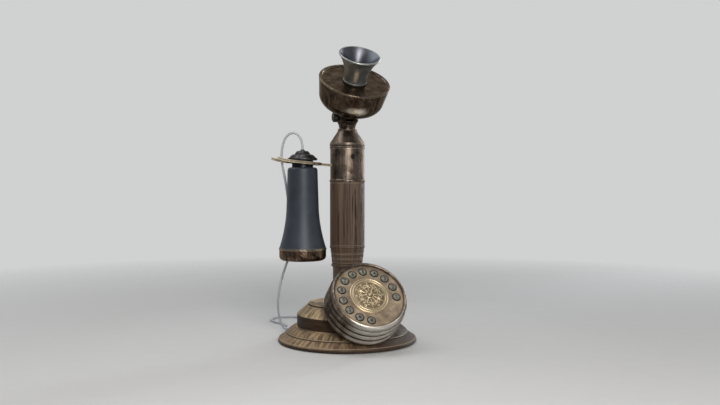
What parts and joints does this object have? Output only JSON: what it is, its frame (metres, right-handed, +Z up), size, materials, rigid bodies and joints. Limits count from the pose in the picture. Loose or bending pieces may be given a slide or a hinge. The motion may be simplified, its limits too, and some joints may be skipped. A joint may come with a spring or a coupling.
{
  "type": "upright desk telephone",
  "caption": "Upright desk telephone on a turned two-tier base, with a column, a tilting transmitter, a receiver hung on a fork hook and a drum with push keys.",
  "frame": {"origin": "middle of the felt's underside, on the column's axis", "axes": "+Z up along the column, -Y towards the front with the key drum, -X towards the fork hook and the receiver"},
  "size_m": [0.1452, 0.246, 0.2947],
  "materials": {
    "aged_wood": "worn satin varnish",
    "felt": "matt",
    "dark_bronze": "dark, polished",
    "face_lacquer": "glossy brown",
    "pewter": "satin",
    "receiver_paint": "satin slate grey",
    "pale_brass": "polished",
    "dial_bronze": "satin",
    "dial_silver": "polished",
    "drum_metal": "satin",
    "key_plastic": "glossy",
    "steel": "plain",
    "iron": "as cast",
    "moulded_black": "matt",
    "key_board": "matt",
    "key_rubber": "matt",
    "cord_cover": "matt"
  },
  "bodies": {
    "stand": {"base_skirt": "aged_wood", "base_dome": "aged_wood", "base_plate": "steel", "base_felt": "felt", "base_screws": "steel", "ballast_weight": "iron", "circuit_board": "moulded_black", "ringer": "moulded_black", "line_bush": "moulded_black", "cord_bush": "moulded_black", "column": "aged_wood", "stem_tube": "steel", "stem_nuts": "steel", "ferrule": "dark_bronze", "upper_band": "dark_bronze", "cone_cap": "dark_bronze", "yoke": "dark_bronze", "ferrule_screw": "steel", "hook_pin": "pale_brass", "switch_bracket": "steel", "contact_blades": "pale_brass", "contact_block": "moulded_black", "dial_housing": "drum_metal", "dial_bezel": "dial_silver", "dial_face": "dial_bronze", "dial_medallion": "dial_bronze", "key_board": "key_board", "key_mat": "key_rubber", "dial_screws": "steel", "receiver_cord": "cord_cover"},
    "hook": {"hook_lever": "pale_brass"},
    "transmitter": {"transmitter_cup": "dark_bronze", "transmitter_rim": "dark_bronze", "transmitter_face": "face_lacquer", "mouthpiece": "pewter", "transmitter_capsule": "moulded_black", "transmitter_diaphragm": "steel", "tilt_lug": "dark_bronze"},
    "thumb_screw": {"tilt_screw": "pewter"},
    "receiver": {"receiver_shell": "receiver_paint", "receiver_cap": "dark_bronze", "receiver_band": "dark_bronze", "ear_cap": "dark_bronze", "receiver_diaphragm": "steel", "receiver_magnet": "iron", "receiver_coils": "pale_brass", "receiver_bush": "moulded_black"},
    "key_1": {"key_1": "key_plastic"},
    "key_2": {"key_2": "key_plastic"},
    "key_3": {"key_3": "key_plastic"},
    "key_4": {"key_4": "key_plastic"},
    "key_5": {"key_5": "key_plastic"},
    "key_6": {"key_6": "key_plastic"},
    "key_7": {"key_7": "key_plastic"},
    "key_8": {"key_8": "key_plastic"},
    "key_9": {"key_9": "key_plastic"},
    "key_0": {"key_0": "key_plastic"},
    "key_star": {"key_star": "key_plastic"},
    "key_hash": {"key_hash": "key_plastic"}
  },
  "joints": [
    {"name": "receiver_lift", "type": "slide", "parent": "stand", "child": "receiver", "axis": [-0.9524, 0, 0.3048], "range_m": [0, 0.06], "deforming": ["receiver_cord"]},
    {"name": "hook_rise", "type": "hinge", "parent": "stand", "child": "hook", "pos_m": [0, 0, 0.1764], "axis": [0, 1, 0], "range_deg": [0, 6.1]},
    {"name": "transmitter_tilt", "type": "hinge", "parent": "stand", "child": "transmitter", "pos_m": [0, 0, 0.2262], "axis": [1, 0, 0], "range_deg": [-28, 40]},
    {"name": "tilt_screw_turn", "type": "hinge", "parent": "stand", "child": "thumb_screw", "pos_m": [0, 0, 0.2262], "axis": [-1, 0, 0], "range_deg": [0, 270]},
    {"name": "press_1", "type": "slide", "parent": "stand", "child": "key_1", "axis": [0, 0.766, -0.6428], "range_m": [0, 0.0015], "stiffness_N_per_m": 400, "springref_m": -0.0006},
    {"name": "press_2", "type": "slide", "parent": "stand", "child": "key_2", "axis": [0, 0.766, -0.6428], "range_m": [0, 0.0015], "stiffness_N_per_m": 400, "springref_m": -0.0006},
    {"name": "press_3", "type": "slide", "parent": "stand", "child": "key_3", "axis": [0, 0.766, -0.6428], "range_m": [0, 0.0015], "stiffness_N_per_m": 400, "springref_m": -0.0006},
    {"name": "press_4", "type": "slide", "parent": "stand", "child": "key_4", "axis": [0, 0.766, -0.6428], "range_m": [0, 0.0015], "stiffness_N_per_m": 400, "springref_m": -0.0006},
    {"name": "press_5", "type": "slide", "parent": "stand", "child": "key_5", "axis": [0, 0.766, -0.6428], "range_m": [0, 0.0015], "stiffness_N_per_m": 400, "springref_m": -0.0006},
    {"name": "press_6", "type": "slide", "parent": "stand", "child": "key_6", "axis": [0, 0.766, -0.6428], "range_m": [0, 0.0015], "stiffness_N_per_m": 400, "springref_m": -0.0006},
    {"name": "press_7", "type": "slide", "parent": "stand", "child": "key_7", "axis": [0, 0.766, -0.6428], "range_m": [0, 0.0015], "stiffness_N_per_m": 400, "springref_m": -0.0006},
    {"name": "press_8", "type": "slide", "parent": "stand", "child": "key_8", "axis": [0, 0.766, -0.6428], "range_m": [0, 0.0015], "stiffness_N_per_m": 400, "springref_m": -0.0006},
    {"name": "press_9", "type": "slide", "parent": "stand", "child": "key_9", "axis": [0, 0.766, -0.6428], "range_m": [0, 0.0015], "stiffness_N_per_m": 400, "springref_m": -0.0006},
    {"name": "press_0", "type": "slide", "parent": "stand", "child": "key_0", "axis": [0, 0.766, -0.6428], "range_m": [0, 0.0015], "stiffness_N_per_m": 400, "springref_m": -0.0006},
    {"name": "press_star", "type": "slide", "parent": "stand", "child": "key_star", "axis": [0, 0.766, -0.6428], "range_m": [0, 0.0015], "stiffness_N_per_m": 400, "springref_m": -0.0006},
    {"name": "press_hash", "type": "slide", "parent": "stand", "child": "key_hash", "axis": [0, 0.766, -0.6428], "range_m": [0, 0.0015], "stiffness_N_per_m": 400, "springref_m": -0.0006}
  ],
  "couplings": [
    {"joint": "hook_rise", "follows": "receiver_lift", "rad_per_m": 1.7453}
  ]
}
